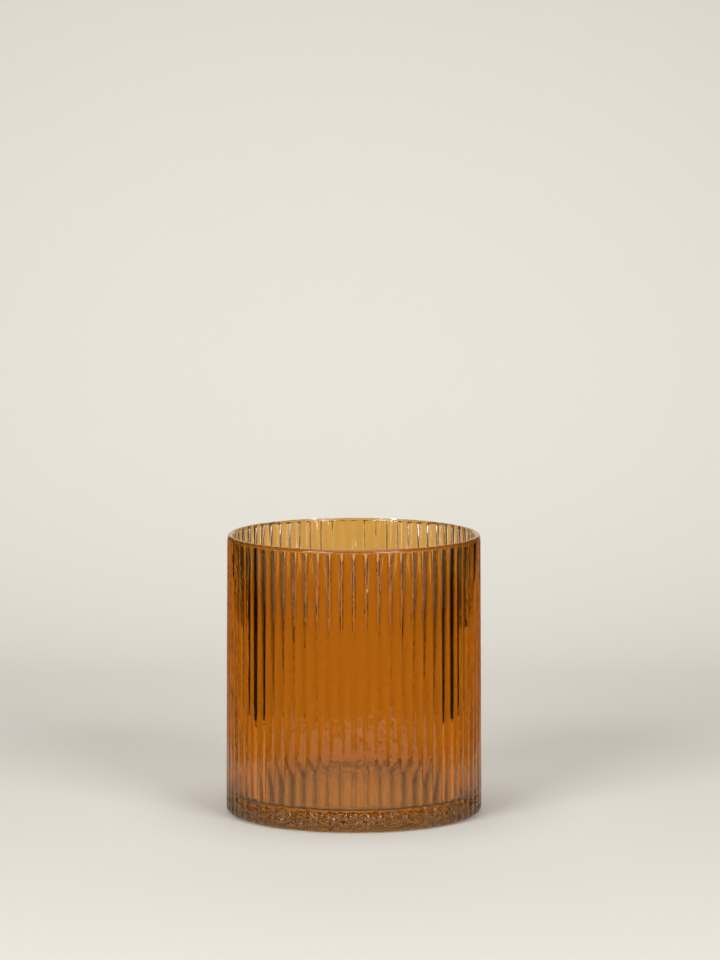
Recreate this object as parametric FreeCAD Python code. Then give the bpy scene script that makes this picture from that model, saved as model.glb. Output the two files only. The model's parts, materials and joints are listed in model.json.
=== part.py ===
"""Cased glass vase: a clear glass body with a thin amber casing fused over its reeded outside.

Units are millimetres. +Z is up, and the origin is the centre of the base on the surface it stands on.
"""
import FreeCAD, Part
import math
import os

from FreeCAD import Vector

# Driving dimensions
height = 165.0
base_radius = 75.5            # over the reed crests, at the heel
rim_radius = 74.5             # over the reed crests, at the rim
wall_thickness = 3.5          # reed crest to the inside surface, casing included
base_thickness = 12.5         # standing surface to the inside floor, at the wall
casing_thickness = 0.35       # amber layer, the same all over the reeds
reed_count = 66
reed_depth = 1.1
groove_radius = 0.8           # root of the groove between two reeds
reed_runout = 0.5             # length over which the reeds melt away under the rim
heel_radius = 4.0
inner_corner_radius = 3.0
floor_crown = 1.0             # rise of the inside floor at its centre
hollow_depth = 1.2            # hollow of the underside, at its centre
contact_ring_width = 8.0      # flat ring that the vase stands on
clear_foot = 0.6              # height of the polished foot, where the casing is ground away
clear_rim = 0.2               # bare glass between the casing's edge and the start of the rim's round

# Worked out from the driving dimensions
rim_round = wall_thickness / 2
rim_start = height - rim_round
reed_top = rim_start - reed_runout
casing_top = rim_start - clear_rim
contact_radius = base_radius - heel_radius
hollow_radius = contact_radius - contact_ring_width
full_turn = 360.0
half_pitch = math.pi / reed_count


def crest_radius_at(z):
    """Outside radius over the reed crests at a height."""
    return base_radius + (rim_radius - base_radius) * z / height


def polar(radius, angle, z):
    return Vector(radius * math.cos(angle), radius * math.sin(angle), z)


def line(start, end):
    return Part.LineSegment(start, end).toShape()


def arc(start, middle, end):
    return Part.Arc(start, middle, end).toShape()


def rounded(centre_r, centre_z, radius, start_deg, end_deg):
    """Arc in the XZ plane round a centre, between two angles measured from +X towards +Z."""
    points = []
    for angle in (start_deg, (start_deg + end_deg) / 2, end_deg):
        turn = math.radians(angle)
        points.append(Vector(centre_r + radius * math.cos(turn), 0, centre_z + radius * math.sin(turn)))
    return arc(*points)


def crown(outer_r, edge_z, rise):
    """Arc from a circle's edge to its centre that rises by a small amount."""
    ball = (outer_r ** 2 + rise ** 2) / (2 * rise)
    middle_r = outer_r / 2
    middle_z = edge_z + rise - ball + math.sqrt(ball ** 2 - middle_r ** 2)
    return arc(Vector(outer_r, 0, edge_z), Vector(middle_r, 0, middle_z), Vector(0, 0, edge_z + rise))


def revolved(edges):
    wire = Part.Wire(Part.__sortEdges__(edges))
    return Part.Face(wire).revolve(Vector(0, 0, 0), Vector(0, 0, 1), full_turn)


def reed_section(z, inset):
    """Closed outline of round reeds joined by tangent grooves, taken inwards by an inset."""
    crest = crest_radius_at(z)
    root = crest - reed_depth
    groove_centre = root + groove_radius
    cosine = math.cos(half_pitch)
    square = crest ** 2 + groove_centre ** 2 - 2 * crest * groove_centre * cosine
    reed_round = (square - groove_radius ** 2) / (2 * (crest - groove_centre * cosine + groove_radius))
    crest_centre = Vector(crest - reed_round, 0, z)
    to_groove = polar(groove_centre, half_pitch, z) - crest_centre
    joint = crest_centre + to_groove * ((reed_round - inset) / (reed_round + groove_radius))
    return outline(z, crest - inset, root - inset, joint)


def round_section(z, inset):
    """Plain circle cut at the same turns as the reeds, so that it lofts from them."""
    radius = crest_radius_at(z) - inset
    joint = reed_section(z, inset).Edges[0].Vertexes[1].Point
    turn = math.atan2(joint.y, joint.x)
    return outline(z, radius, radius, polar(radius, turn, z))


def outline(z, crest, root, joint):
    """Crest arcs and groove arcs in turn, from the first joint to the right of a crest on +X."""
    joint_r = math.hypot(joint.x, joint.y)
    joint_turn = math.atan2(joint.y, joint.x)
    edges = []
    for number in range(reed_count):
        middle = 2 * half_pitch * number
        left = polar(joint_r, middle - joint_turn, z)
        right = polar(joint_r, middle + joint_turn, z)
        next_left = polar(joint_r, middle + 2 * half_pitch - joint_turn, z)
        edges.append(arc(left, polar(crest, middle, z), right))
        edges.append(arc(right, polar(root, middle + half_pitch, z), next_left))
    return Part.Wire(edges)


def reeded_blank(inset):
    """Reeds from the standing surface up to the rim, where they melt into a plain round."""
    sections = [reed_section(0, inset), reed_section(reed_top, inset), round_section(rim_start, inset)]
    return Part.makeLoft(sections, True, True)


def foot_form(inset):
    """Solid that shapes the foot: underside and heel, with spare room above, taken inwards by an inset."""
    spare_r = 2 * base_radius
    heel = heel_radius - inset
    floor_z = heel_radius - heel
    return revolved([
        line(Vector(0, 0, floor_z), Vector(0, 0, height)),
        line(Vector(0, 0, height), Vector(spare_r, 0, height)),
        line(Vector(spare_r, 0, height), Vector(spare_r, 0, heel_radius)),
        line(Vector(spare_r, 0, heel_radius), Vector(contact_radius + heel, 0, heel_radius)),
        rounded(contact_radius, heel_radius, heel, 0, -90),
        line(Vector(contact_radius, 0, floor_z), Vector(0, 0, floor_z)),
    ])


def outside(inset):
    """The whole outside as a solid up to the start of the rim's round, taken inwards by an inset."""
    return reeded_blank(inset).common(foot_form(inset))


def hollow():
    """Slight hollow of the underside, inside the flat ring that the vase stands on."""
    return revolved([
        crown(hollow_radius, 0, hollow_depth),
        line(Vector(0, 0, hollow_depth), Vector(0, 0, 0)),
        line(Vector(0, 0, 0), Vector(hollow_radius, 0, 0)),
    ])


def inside():
    """Space inside the vase, from the floor up to the start of the rim's round."""
    corner_z = base_thickness + inner_corner_radius
    corner_r = crest_radius_at(corner_z) - wall_thickness - inner_corner_radius
    top_r = crest_radius_at(rim_start) - wall_thickness
    return revolved([
        line(Vector(0, 0, base_thickness + floor_crown), Vector(0, 0, rim_start)),
        line(Vector(0, 0, rim_start), Vector(top_r, 0, rim_start)),
        line(Vector(top_r, 0, rim_start), Vector(corner_r + inner_corner_radius, 0, corner_z)),
        rounded(corner_r, corner_z, inner_corner_radius, 0, -90),
        crown(corner_r, base_thickness, floor_crown),
    ])


def rim():
    """Half-round ring that closes the top of the wall."""
    centre_r = crest_radius_at(rim_start) - rim_round
    inner = Vector(centre_r - rim_round, 0, rim_start)
    outer = Vector(centre_r + rim_round, 0, rim_start)
    return revolved([line(inner, outer), arc(outer, Vector(centre_r, 0, height), inner)])


def amber_glass_casing(whole):
    """Layer that follows the outside, between the polished foot and the bare glass under the rim."""
    band = Part.makeCylinder(2 * base_radius, casing_top - clear_foot, Vector(0, 0, clear_foot))
    return whole.common(band).cut(outside(casing_thickness))


def clear_glass_body(whole, casing):
    """The rest of the vase: wall, heavy base and rim, with the casing's room left free."""
    return whole.cut(casing).cut(inside()).cut(hollow()).fuse(rim())


def single_solid(shape):
    """The one solid that a sub-part is made of."""
    solids = shape.removeSplitter().Solids
    if len(solids) != 1:
        raise ValueError("expected one solid, found %d" % len(solids))
    return solids[0]


os.makedirs("parts", exist_ok=True)
whole = outside(0)
casing = single_solid(amber_glass_casing(whole))
body = single_solid(clear_glass_body(whole, casing))
for node, solid in (("clear_glass_body", body), ("amber_glass_casing", casing)):
    solid.exportStep("parts/%s.step" % node)
    box = solid.optimalBoundingBox()
    print("%s: valid %s, %.0f mm3, %.2f x %.2f x %.2f mm, %d faces" % (
        node, solid.isValid(), solid.Volume, box.XLength, box.YLength, box.ZLength, len(solid.Faces)))
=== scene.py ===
import json
import math

import bmesh
import bpy
from mathutils import Matrix, Vector

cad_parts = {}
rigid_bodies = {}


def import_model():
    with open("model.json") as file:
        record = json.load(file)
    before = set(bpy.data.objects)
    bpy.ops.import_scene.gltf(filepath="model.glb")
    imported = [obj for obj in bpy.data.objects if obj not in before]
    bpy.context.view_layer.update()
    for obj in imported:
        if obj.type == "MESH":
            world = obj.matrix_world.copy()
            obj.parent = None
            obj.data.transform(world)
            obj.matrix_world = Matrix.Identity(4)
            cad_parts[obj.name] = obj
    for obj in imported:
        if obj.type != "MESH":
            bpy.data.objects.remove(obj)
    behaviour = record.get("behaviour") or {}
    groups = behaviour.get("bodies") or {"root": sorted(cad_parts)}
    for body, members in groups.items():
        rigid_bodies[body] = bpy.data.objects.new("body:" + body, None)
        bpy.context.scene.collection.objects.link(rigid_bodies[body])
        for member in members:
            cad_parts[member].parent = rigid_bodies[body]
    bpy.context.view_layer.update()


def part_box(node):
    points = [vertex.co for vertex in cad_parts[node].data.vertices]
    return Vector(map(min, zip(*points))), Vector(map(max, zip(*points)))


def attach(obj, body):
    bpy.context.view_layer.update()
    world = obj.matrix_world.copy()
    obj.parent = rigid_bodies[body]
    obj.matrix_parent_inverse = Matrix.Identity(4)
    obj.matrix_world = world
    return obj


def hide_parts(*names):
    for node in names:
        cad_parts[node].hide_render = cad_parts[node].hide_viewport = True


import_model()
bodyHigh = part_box("clear_glass_body")[1]
casingLow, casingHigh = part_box("amber_glass_casing")
mm = 0.001

# The vase's outline, which both layers of glass share.
vase = {
    "height": bodyHigh.z,
    "crestRadius": casingHigh.x,  # over the reeds, where the heel ends
    "rimNarrowing": 1.0 * mm,
    "wall": 3.5 * mm,
    "reeds": 66,
    "reedDepth": 1.1 * mm,
    "grooveRadius": 0.8 * mm,
    "runout": 0.5 * mm,  # where the reeds melt into the rim
    "heelRadius": 4.0 * mm,
    "casing": 0.35 * mm,
    "stepsPerReed": 20,
    "grooveShare": 0.3,  # of a reed's steps, the part that goes round its groove
}
pitch = 2 * math.pi / vase["reeds"]
rimRound = vase["wall"] / 2
rimStart = vase["height"] - rimRound
reedTop = rimStart - vase["runout"]
footRadius = vase["crestRadius"] + vase["rimNarrowing"] * vase["heelRadius"] / vase["height"]
contactRadius = footRadius - vase["heelRadius"]


def crestAt(z):
    return footRadius - vase["rimNarrowing"] * z / vase["height"]


def arcPoints(centreX, centreZ, radius, startDeg, endDeg, steps):
    points = []
    for step in range(steps + 1):
        turn = math.radians(startDeg + (endDeg - startDeg) * step / steps)
        points.append((centreX + radius * math.cos(turn), centreZ + radius * math.sin(turn)))
    return points


def crownPoints(outerX, edgeZ, rise, steps):  # a shallow dome, from its edge to the axis
    shares = [1 - step / steps for step in range(steps + 1)]
    return [(outerX * share, edgeZ + rise * (1 - share ** 2)) for share in shares]


def reedPoint(share, crest, inset):  # share runs from -1 to 1, groove to groove
    half = pitch / 2
    grooveCentre = crest - vase["reedDepth"] + vase["grooveRadius"]
    across = math.cos(half)
    square = crest ** 2 + grooveCentre ** 2 - 2 * crest * grooveCentre * across
    reedRound = (square - vase["grooveRadius"] ** 2) / (
        2 * (crest - grooveCentre * across + vase["grooveRadius"]))
    reedCentre = crest - reedRound
    lean = math.atan2(grooveCentre * math.sin(half), grooveCentre * across - reedCentre)  # half the crest's arc
    if abs(share) <= 1 - vase["grooveShare"]:
        turn = lean * share / (1 - vase["grooveShare"])
        x = reedCentre + (reedRound - inset) * math.cos(turn)
        y = (reedRound - inset) * math.sin(turn)
    else:
        side = math.copysign(1, share)
        turn = (1 - abs(share)) / vase["grooveShare"] * (lean - half)
        inward = math.pi + half + turn
        x = grooveCentre * across + (vase["grooveRadius"] + inset) * math.cos(inward)
        y = side * (grooveCentre * math.sin(half) + (vase["grooveRadius"] + inset) * math.sin(inward))
    return math.hypot(x, y), math.atan2(y, x)


def softMin(first, second, blend):
    mix = max(blend - abs(first - second), 0) / blend
    return min(first, second) - mix * mix * blend / 4


def pressReed(vert, inset):  # moves a vertex of the plain round wall on to its reed
    radius, z = math.hypot(vert.co.x, vert.co.y), vert.co.z
    turn = math.atan2(vert.co.y, vert.co.x)
    number = round(turn / pitch)
    share = (turn - number * pitch) / (pitch / 2)
    reed, lean = reedPoint(max(-1, min(1, share)), crestAt(z), inset)
    if z < vase["heelRadius"]:  # the heel cuts the reeds off
        reed = softMin(reed, radius, 0.12 * mm)
    elif z > reedTop:
        melt = (z - reedTop) / vase["runout"]
        reed += (crestAt(z) - inset - reed) * melt * melt * (3 - 2 * melt)
    vert.co.x = reed * math.cos(number * pitch + lean)
    vert.co.y = reed * math.sin(number * pitch + lean)


# A row is x, z, a finish number and the inset of its reeds, or None where the wall is plain.
# A face takes the highest number among its corners.
def spinRows(rows, closed):
    bm = bmesh.new()
    finish = bm.verts.layers.int.new("finish")
    reedInset = bm.verts.layers.float.new("reedInset")
    verts = []
    for x, z, number, inset in rows:
        vert = bm.verts.new((x, 0, z))
        vert[finish] = number
        vert[reedInset] = -1 if inset is None else inset
        verts.append(vert)
    ends = verts[1:] + verts[:1] if closed else verts[1:]
    edges = [bm.edges.new(pair) for pair in zip(verts, ends)]
    bmesh.ops.spin(bm, geom=verts + edges, cent=(0, 0, 0), axis=(0, 0, 1), dvec=(0, 0, 0),
                   angle=pitch, space=Matrix(), steps=vase["stepsPerReed"],
                   use_merge=False, use_normal_flip=False, use_duplicate=False)
    for vert in bm.verts:
        if vert[reedInset] >= 0:
            pressReed(vert, vert[reedInset])
    for face in bm.faces:
        face.smooth = True
        face.material_index = max(vert[finish] for vert in face.verts)
    firstReed = bm.verts[:] + bm.edges[:] + bm.faces[:]
    bmesh.ops.spin(bm, geom=firstReed, cent=(0, 0, 0), axis=(0, 0, 1), dvec=(0, 0, 0),
                   angle=2 * math.pi - pitch, space=Matrix(), steps=vase["reeds"] - 1,
                   use_merge=False, use_normal_flip=False, use_duplicate=True)
    bmesh.ops.remove_doubles(bm, verts=bm.verts, dist=0.001 * mm)
    bmesh.ops.recalc_face_normals(bm, faces=bm.faces)
    if bm.calc_volume(signed=True) < 0:
        bmesh.ops.reverse_faces(bm, faces=bm.faces)
    for edge in bm.edges:
        if len({face.material_index for face in edge.link_faces}) > 1:
            edge.smooth = False
    return bm


def finishPiece(bm, name, materials):
    mesh = bpy.data.meshes.new(name)
    bm.to_mesh(mesh)
    bm.free()
    for material in materials:
        mesh.materials.append(material)
    piece = bpy.data.objects.new(name, mesh)
    bpy.context.scene.collection.objects.link(piece)
    return piece


# Shader maths: a socket that adds Math nodes when it is used in a sum.
class Wire:
    def __init__(self, tree, socket):
        self.tree = tree
        self.socket = socket

    def maths(self, operation, first, second):
        return addNode(self.tree, "ShaderNodeMath", {"operation": operation}, {0: first, 1: second})

    def __add__(self, other):
        return self.maths("ADD", self, other)

    def __radd__(self, other):
        return self.maths("ADD", other, self)

    def __mul__(self, other):
        return self.maths("MULTIPLY", self, other)

    def __rmul__(self, other):
        return self.maths("MULTIPLY", other, self)


def addNode(tree, kind, settings, inputs, output=0):
    node = tree.nodes.new(kind)
    for name, value in settings.items():
        setattr(node, name, value)
    for name, value in inputs.items():
        if isinstance(value, Wire):
            tree.links.new(value.socket, node.inputs[name])
        else:
            node.inputs[name].default_value = value
    return Wire(tree, node.outputs[output])


def newMaterial(name):
    material = bpy.data.materials.new(name)
    material.use_nodes = True
    return material, material.node_tree, material.node_tree.nodes["Principled BSDF"]


def newGlass(name, roughness=0):
    material, tree, shader = newMaterial(name)
    shader.inputs["IOR"].default_value = glassIor
    shader.inputs["Transmission Weight"].default_value = 1
    shader.inputs["Roughness"].default_value = roughness
    return material, tree, shader


def addBump(tree, shader, wave, height):
    bump = addNode(tree, "ShaderNodeBump", {}, {"Height": wave, "Strength": 1.0, "Distance": height})
    tree.links.new(bump.socket, shader.inputs["Normal"])


def objectPlace(tree, scale):  # object coordinates, stretched by a scale for each axis
    place = addNode(tree, "ShaderNodeTexCoord", {}, {}, "Object")
    return addNode(tree, "ShaderNodeMapping", {}, {"Vector": place, "Scale": scale})


def ripples(tree, scale, size, detail):
    return addNode(tree, "ShaderNodeTexNoise", {}, {
        "Vector": objectPlace(tree, scale), "Scale": size, "Detail": detail, "Roughness": 0.5})


glassIor = 1.52

# Each noise is its stretch along the three axes, its scale and its detail.
clearFinish = {
    "pale": (0.955, 0.965, 0.955, 1),
    "grey": (0.925, 0.94, 0.93, 1),
    "cords": ((1, 1, 0.35), 45, 2),
    "broadWave": ((1, 1, 0.4), 110, 1),
    "fineWave": ((1, 1, 0.8), 300, 1),
    "fineShare": 0.35,
    "rippleHeight": 0.012 * mm,
}


def clearGlass():
    material, tree, shader = newGlass("clearGlass")
    tint = addNode(tree, "ShaderNodeMix", {"data_type": "RGBA"}, {
        0: ripples(tree, *clearFinish["cords"]), 6: clearFinish["pale"], 7: clearFinish["grey"]}, 2)
    tree.links.new(tint.socket, shader.inputs["Base Color"])
    wave = ripples(tree, *clearFinish["broadWave"]) + (
        clearFinish["fineShare"] * ripples(tree, *clearFinish["fineWave"]))
    addBump(tree, shader, wave, clearFinish["rippleHeight"])
    return material


footFinish = {
    "colour": (0.93, 0.93, 0.91, 1),
    "smooth": 0.2,
    "rough": 0.45,
    "patches": ((1, 1, 1), 60, 3),
    "grinding": ((1, 1, 1), 900, 2),
    "grindHeight": 0.02 * mm,
}


def groundFoot():  # the ring that the vase stands on
    material, tree, shader = newGlass("groundFoot")
    shader.inputs["Base Color"].default_value = footFinish["colour"]
    patches = ripples(tree, *footFinish["patches"])
    roughness = footFinish["smooth"] + (footFinish["rough"] - footFinish["smooth"]) * patches
    tree.links.new(roughness.socket, shader.inputs["Roughness"])
    addBump(tree, shader, ripples(tree, *footFinish["grinding"]), footFinish["grindHeight"])
    return material


def fusedJoin():  # the face where the body meets the casing, which doesn't show
    material, tree, shader = newGlass("fusedJoin", 0.5)
    shader.inputs["Alpha"].default_value = 0
    return material


amberFinish = {
    "passed": (0.87, 0.465, 0.1),  # what one straight pass through the layer lets through
    "streak": 0.9,  # the darker streaks, against the rest
    "streaks": ((1, 1, 0.3), 60, 2),
    "broadWave": ((1, 1, 0.4), 120, 1),
    "fineWave": ((1, 1, 0.8), 330, 1),
    "fineShare": 0.35,
    "crinkles": ((0.7, 0.7, 1), 420, 2),
    "rippleHeight": 0.3 * mm,
    "crinkle": 4,  # how much rougher the glass is where it met the mould's floor
    "footPaintedShade": (0.4, 0.52, 0.85, 1),  # painted shade: how much darker the colour is made near the foot, standing in for the shadowed paper seen through the base
    "footFull": 8 * mm,
    "footEnd": 14 * mm,
}


def amberTint(tree):  # squared, as a surface shows only the root of its colour
    clean = [share ** 2 for share in amberFinish["passed"]]
    return addNode(tree, "ShaderNodeMix", {"data_type": "RGBA"}, {
        0: ripples(tree, *amberFinish["streaks"]), 6: (*clean, 1),
        7: (*[share * amberFinish["streak"] for share in clean], 1)}, 2)


def amberGlass():
    material, tree, shader = newGlass("amberGlass")
    height = addNode(tree, "ShaderNodeSeparateXYZ", {}, {"Vector": objectPlace(tree, (1, 1, 1))}, "Z")
    # atFoot is 1 near the foot; it sets where the painted shade darkens the tint, and where the crinkled bump
    # is.
    atFoot = addNode(tree, "ShaderNodeMapRange", {"interpolation_type": "SMOOTHSTEP"}, {
        "Value": height, "From Min": amberFinish["footFull"], "From Max": amberFinish["footEnd"],
        "To Min": 1, "To Max": 0})
    # Painted shade: the amber tint is multiplied darker near the foot, standing in for the shadow seen through
    # the base.
    footShadedTint = addNode(tree, "ShaderNodeMix", {"data_type": "RGBA", "blend_type": "MULTIPLY"}, {
        0: atFoot, 6: amberTint(tree), 7: amberFinish["footPaintedShade"]}, 2)
    tree.links.new(footShadedTint.socket, shader.inputs["Base Color"])
    wave = ripples(tree, *amberFinish["broadWave"]) + (
        amberFinish["fineShare"] * ripples(tree, *amberFinish["fineWave"]))
    wave = wave + amberFinish["crinkle"] * atFoot * ripples(tree, *amberFinish["crinkles"])
    addBump(tree, shader, wave, amberFinish["rippleHeight"])
    openFace = addNode(tree, "ShaderNodeAttribute", {"attribute_name": "openFace"}, {}, "Fac")
    tree.links.new(openFace.socket, shader.inputs["Alpha"])
    return material


def amberRim():  # the colour's last thin film over the bare rim
    material, tree, shader = newGlass("amberRim")
    tree.links.new(amberTint(tree).socket, shader.inputs["Base Color"])
    return material


casingShape = {
    "bottom": casingLow.z,
    "top": casingHigh.z,
    "heelSteps": 8,
    "wallSteps": 3,
    "runoutSteps": 3,
}


def steps(start, end, count):
    return [start + (end - start) * step / count for step in range(1, count + 1)]


def wallRows(inset, finish):  # the outside, inset, from the casing's bottom to its top
    heel = vase["heelRadius"] - inset
    sinking = math.degrees(math.asin((vase["heelRadius"] - casingShape["bottom"]) / heel))
    points = arcPoints(contactRadius, vase["heelRadius"], heel, -sinking, 0, casingShape["heelSteps"])
    for z in (steps(vase["heelRadius"], reedTop, casingShape["wallSteps"])
              + steps(reedTop, casingShape["top"], casingShape["runoutSteps"])):
        points.append((crestAt(z) - inset, z))
    return [(x, z, finish, inset) for x, z in points]


def buildCasing():
    bm = spinRows(wallRows(0, 0) + wallRows(vase["casing"], 1)[::-1], closed=True)
    openFace = bm.faces.layers.float.new("openFace")
    for face in bm.faces:
        face[openFace] = 1 - face.material_index
        face.material_index = 0
    print("casing:", round(bm.calc_volume(signed=True) / mm ** 3), "mm3")
    return finishPiece(bm, "amberGlassCasing", [amberGlass()])


bodyShape = {
    "hollowDepth": 1.2 * mm,
    "contactRing": 8.0 * mm,
    "baseThickness": 12.5 * mm,
    "floorCrown": 1.0 * mm,
    "cornerRadius": 3.0 * mm,
    "undersideSteps": 6,
    "heelSteps": 4,  # from the standing ring to the casing's bottom
    "bareSteps": 3,  # from the casing's top to the rim's round
    "rimSteps": 12,
    "cornerSteps": 8,
    "floorSteps": 6,
}


def buildBody():
    clear, ground, join, rim = 0, 1, 2, 3
    hollowRadius = contactRadius - bodyShape["contactRing"]
    sinking = math.degrees(math.asin((vase["heelRadius"] - casingShape["bottom"]) / vase["heelRadius"]))
    cornerZ = bodyShape["baseThickness"] + bodyShape["cornerRadius"]
    cornerX = crestAt(cornerZ) - vase["wall"] - bodyShape["cornerRadius"]
    rows = [(x, z, clear, None) for x, z in crownPoints(
        hollowRadius, 0, bodyShape["hollowDepth"], bodyShape["undersideSteps"])[:0:-1]]
    rows += [(hollowRadius, 0, ground, None)]
    heel = arcPoints(contactRadius, vase["heelRadius"], vase["heelRadius"], -90, -sinking,
                     bodyShape["heelSteps"])
    rows += [(*heel[0], ground, None)] + [(x, z, clear, 0) for x, z in heel[1:]]
    rows += wallRows(vase["casing"], join)
    bareSteps = steps(casingShape["top"], rimStart, bodyShape["bareSteps"])
    rows += [(crestAt(z), z, rim, 0) for z in [casingShape["top"]] + bareSteps[:-1]]
    rimArc = arcPoints(crestAt(rimStart) - rimRound, rimStart, rimRound, 0, 180, bodyShape["rimSteps"])
    outerHalf = bodyShape["rimSteps"] // 2 + 1
    rows += [(x, z, rim, None) for x, z in rimArc[:outerHalf]]
    inside = rimArc[outerHalf:]
    inside += arcPoints(cornerX, cornerZ, bodyShape["cornerRadius"], 0, -90,
                        bodyShape["cornerSteps"])
    inside += crownPoints(cornerX, bodyShape["baseThickness"], bodyShape["floorCrown"],
                          bodyShape["floorSteps"])[1:]
    rows += [(x, z, clear, None) for x, z in inside]
    bm = spinRows(rows, closed=False)
    print("body:", round(bm.calc_volume(signed=True) / mm ** 3), "mm3")
    return finishPiece(bm, "clearGlassBody", [clearGlass(), groundFoot(), fusedJoin(), amberRim()])


body = buildBody()
casing = buildCasing()
for piece, node, slotName in (
        (body, "clear_glass_body", "clear_glass"), (casing, "amber_glass_casing", "amber_glass")):
    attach(piece, "root")
    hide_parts(node)
print("glass:", {piece.name: len(piece.data.polygons) for piece in (body, casing)})

studio = {
    "frontHalfWidth": 0.22,
    "backHalfWidth": 0.34,
    "frontEdge": 0.45,
    "backDistance": 1.0,
    "sweepRadius": 0.5,
    "sweepSteps": 24,
    "height": 1.2,
    "paper": (0.88, 0.845, 0.765, 1),
    "dark": 0.01,
    "lights": {
        "key": ((-1.1, -1.7, 1.0), (0, 0, 0.1), (1.0, 1.0), 28),
        "fill": ((1.1, -1.7, 1.0), (0, 0, 0.1), (1.0, 1.0), 23),
        "top": ((0, 0.1, 2.2), (0, 0.6, 0), (1.6, 1.2), 20),
    },
}


def buildPaper():  # one sheet: a floor that sweeps up into a wall
    bm = bmesh.new()
    sweep = arcPoints(studio["backDistance"] - studio["sweepRadius"], studio["sweepRadius"],
                      studio["sweepRadius"], -90, 0, studio["sweepSteps"])
    line = [(-studio["frontEdge"], 0)] + sweep + [(studio["backDistance"], studio["height"])]
    verts = [bm.verts.new((-1, y, z)) for y, z in line]
    edges = [bm.edges.new(pair) for pair in zip(verts, verts[1:])]
    made = bmesh.ops.extrude_edge_only(bm, edges=edges)
    moved = [item for item in made["geom"] if isinstance(item, bmesh.types.BMVert)]
    bmesh.ops.translate(bm, verts=moved, vec=(2, 0, 0))
    for vert in bm.verts:  # the sheet widens towards the back
        back = (vert.co.y + studio["frontEdge"]) / (studio["backDistance"] + studio["frontEdge"])
        vert.co.x *= studio["frontHalfWidth"] + (studio["backHalfWidth"] - studio["frontHalfWidth"]) * back
    for face in bm.faces:
        face.smooth = True
    material, tree, shader = newMaterial("studioPaper")
    shader.inputs["Base Color"].default_value = studio["paper"]
    shader.inputs["Roughness"].default_value = 0.9
    paper = finishPiece(bm, "studioPaper", [material])


def addLight(name, place, target, size, power):
    light = bpy.data.lights.new(name, "AREA")
    light.shape = "RECTANGLE"
    light.size, light.size_y = size
    light.energy = power
    lamp = bpy.data.objects.new(name, light)
    bpy.context.scene.collection.objects.link(lamp)
    lamp.location = place
    lamp.rotation_euler = (Vector(target) - Vector(place)).to_track_quat("-Z", "Y").to_euler()


buildPaper()
for name, setting in studio["lights"].items():
    addLight(name, *setting)
world = bpy.data.worlds.new("studioDark")
world.use_nodes = True
world.node_tree.nodes["Background"].inputs["Color"].default_value = (*[studio["dark"]] * 3, 1)
scene = bpy.context.scene
scene.world = world
scene.view_settings.view_transform = "Standard"
scene.cycles.max_bounces = 32
scene.cycles.transmission_bounces = 32
scene.cycles.glossy_bounces = 32
scene.cycles.transparent_max_bounces = 64
print("studio: paper,", len(studio["lights"]), "lights")

cameraSetting = {
    "sensor": 36,
    "lens": 190.3,
    "place": (0.0036, -2.9588, 0.5545),
    "tilt": 83.106,
}
cameraData = bpy.data.cameras.new("photoCamera")
cameraData.sensor_width = cameraSetting["sensor"]
cameraData.lens = cameraSetting["lens"]
cameraData.clip_end = 50
camera = bpy.data.objects.new("photoCamera", cameraData)
scene.collection.objects.link(camera)
camera.location = cameraSetting["place"]
camera.rotation_euler = (math.radians(cameraSetting["tilt"]), 0, 0)
scene.camera = camera
print("camera: placed")
